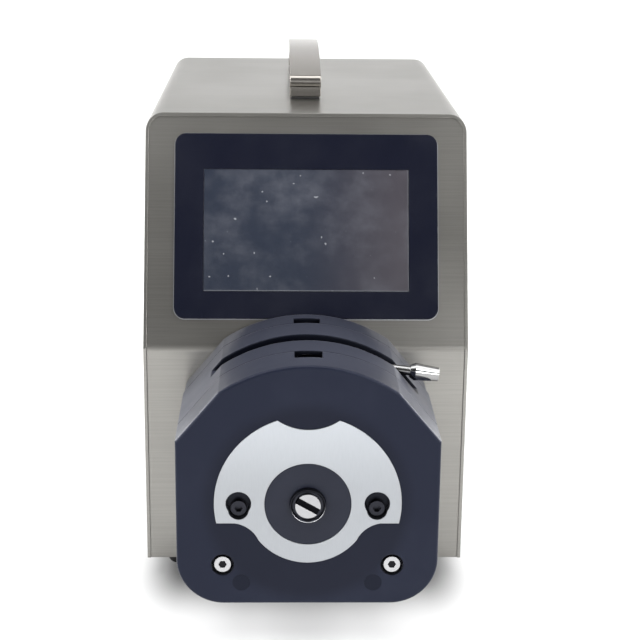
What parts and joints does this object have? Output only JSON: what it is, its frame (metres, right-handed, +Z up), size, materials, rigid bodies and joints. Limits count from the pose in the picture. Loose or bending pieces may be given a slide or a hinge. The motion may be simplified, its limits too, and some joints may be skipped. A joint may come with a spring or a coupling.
{
  "type": "peristaltic pump",
  "caption": "Bench-top peristaltic pump: stainless drive with sloping touch screen and carrying handle, and a dark easy-load roller head opened by a side lever.",
  "frame": {"origin": "centre of the overall bounding box on the table plane, under the feet", "axes": "+Z up, +X to the right seen from the front, the pump head and screen face -Y"},
  "size_m": [0.1516, 0.333, 0.2336],
  "materials": {
    "stainless": "brushed stainless sheet, fine vertical grain",
    "base_sheet": "plain zinc-coated sheet",
    "screw_steel": "turned steel",
    "head_screw": "bright socket screw",
    "polished_steel": "mirror polished",
    "handle_steel": "brushed strap with bright rounded edges",
    "handle_pad": "black moulded spacer",
    "rubber": "black rubber",
    "bezel": "smooth dark navy cover glass",
    "display": "switched-off display, slightly dusty",
    "circuit_board": "solder-masked board with parts",
    "board_post": "plain",
    "head_plastic": "satin moulded engineering plastic",
    "clamp_plastic": "pale moulded plastic",
    "dark_metal": "blackened steel",
    "nameplate": "fine satin",
    "bright_shaft": "ground and polished",
    "roller_cage": "turned steel",
    "roller": "pale low-friction plastic",
    "machined": "machined",
    "motor_black": "black laminations",
    "motor_rotor": "ground steel",
    "fan_plastic": "black moulded plastic",
    "guard_wire": "plated wire",
    "inlet_plastic": "black moulded plastic",
    "brass": "bright",
    "rocker_plastic": "black gloss",
    "port_metal": "plated shells"
  },
  "bodies": {
    "case": {"housing_cover": "stainless", "front_panel": "stainless", "rear_panel": "stainless", "base_plate": "base_sheet", "case_screws": "screw_steel", "foot_screws": "screw_steel", "handle_screws": "screw_steel", "screen_screws": "screw_steel", "motor_bolts": "screw_steel", "rear_screws": "screw_steel", "guide_rods": "screw_steel", "lift_pins": "screw_steel", "head_screws": "head_screw", "carry_handle": "handle_steel", "handle_spacers": "handle_pad", "rubber_feet": "rubber", "screen_bezel": "bezel", "lcd_panel": "display", "screen_board": "circuit_board", "power_supply": "circuit_board", "control_board": "circuit_board", "board_posts": "board_post", "head_rear_plate": "head_plastic", "head_front_plate": "head_plastic", "head_lower_frame": "head_plastic", "centre_disc": "head_plastic", "tube_clamps": "clamp_plastic", "clamp_adjusters": "dark_metal", "front_bushing": "dark_metal", "nameplate": "nameplate", "motor_mount": "machined", "motor_flange": "machined", "motor_rear_cap": "machined", "motor_stack": "motor_black", "shaft_bearings": "motor_rotor", "fan_frame": "fan_plastic", "fan_guard": "guard_wire", "mains_inlet": "inlet_plastic", "switch_housing": "inlet_plastic", "fuse_holder": "inlet_plastic", "inlet_pins": "brass", "earth_stud": "brass", "signal_ports": "port_metal"},
    "rotor": {"rotor_shaft": "bright_shaft", "roller_cage": "roller_cage", "motor_rotor": "motor_rotor", "shaft_coupling": "roller_cage"},
    "roller_1": {"roller_1": "roller"},
    "roller_2": {"roller_2": "roller"},
    "roller_3": {"roller_3": "roller"},
    "roller_4": {"roller_4": "roller"},
    "bed": {"occlusion_bed": "head_plastic", "guide_blocks": "dark_metal"},
    "lever": {"lever_shaft": "dark_metal", "lever_rod": "polished_steel", "lever_grip": "polished_steel"},
    "rocker": {"switch_rocker": "rocker_plastic"},
    "fan": {"fan_rotor": "fan_plastic"},
    "fuse": {"fuse_cap": "inlet_plastic"}
  },
  "joints": [
    {"name": "rotor_spin", "type": "hinge", "parent": "case", "child": "rotor", "pos_m": [0, -0.1225, 0.0683], "axis": [0, -1, 0], "continuous": true},
    {"name": "roller_1_spin", "type": "hinge", "parent": "rotor", "child": "roller_1", "pos_m": [0.01591, -0.1225, 0.08421], "axis": [0, -1, 0], "continuous": true},
    {"name": "roller_2_spin", "type": "hinge", "parent": "rotor", "child": "roller_2", "pos_m": [-0.01591, -0.1225, 0.08421], "axis": [0, -1, 0], "continuous": true},
    {"name": "roller_3_spin", "type": "hinge", "parent": "rotor", "child": "roller_3", "pos_m": [-0.01591, -0.1225, 0.05239], "axis": [0, -1, 0], "continuous": true},
    {"name": "roller_4_spin", "type": "hinge", "parent": "rotor", "child": "roller_4", "pos_m": [0.01591, -0.1225, 0.05239], "axis": [0, -1, 0], "continuous": true},
    {"name": "bed_lift", "type": "slide", "parent": "case", "child": "bed", "axis": [0, 0, 1], "range_m": [0, 0.005]},
    {"name": "lever_swing", "type": "hinge", "parent": "bed", "child": "lever", "pos_m": [0, -0.1235, 0.1193], "axis": [0, -1, 0], "range_deg": [0, 194.4]},
    {"name": "rocker_tilt", "type": "hinge", "parent": "case", "child": "rocker", "pos_m": [0.038, 0.1525, 0.08], "axis": [1, 0, 0], "range_deg": [-18, 0]},
    {"name": "fan_spin", "type": "hinge", "parent": "case", "child": "fan", "pos_m": [-0.028, 0.1465, 0.15], "axis": [0, 1, 0], "continuous": true},
    {"name": "fuse_turn", "type": "hinge", "parent": "case", "child": "fuse", "pos_m": [0.038, 0.1565, 0.112], "axis": [0, 1, 0], "range_deg": [0, 45]}
  ],
  "couplings": [
    {"joint": "roller_1_spin", "follows": "rotor_spin", "ratio": -4},
    {"joint": "roller_2_spin", "follows": "rotor_spin", "ratio": -4},
    {"joint": "roller_3_spin", "follows": "rotor_spin", "ratio": -4},
    {"joint": "roller_4_spin", "follows": "rotor_spin", "ratio": -4},
    {"joint": "lever_swing", "follows": "bed_lift", "rad_per_m": 678.58}
  ]
}
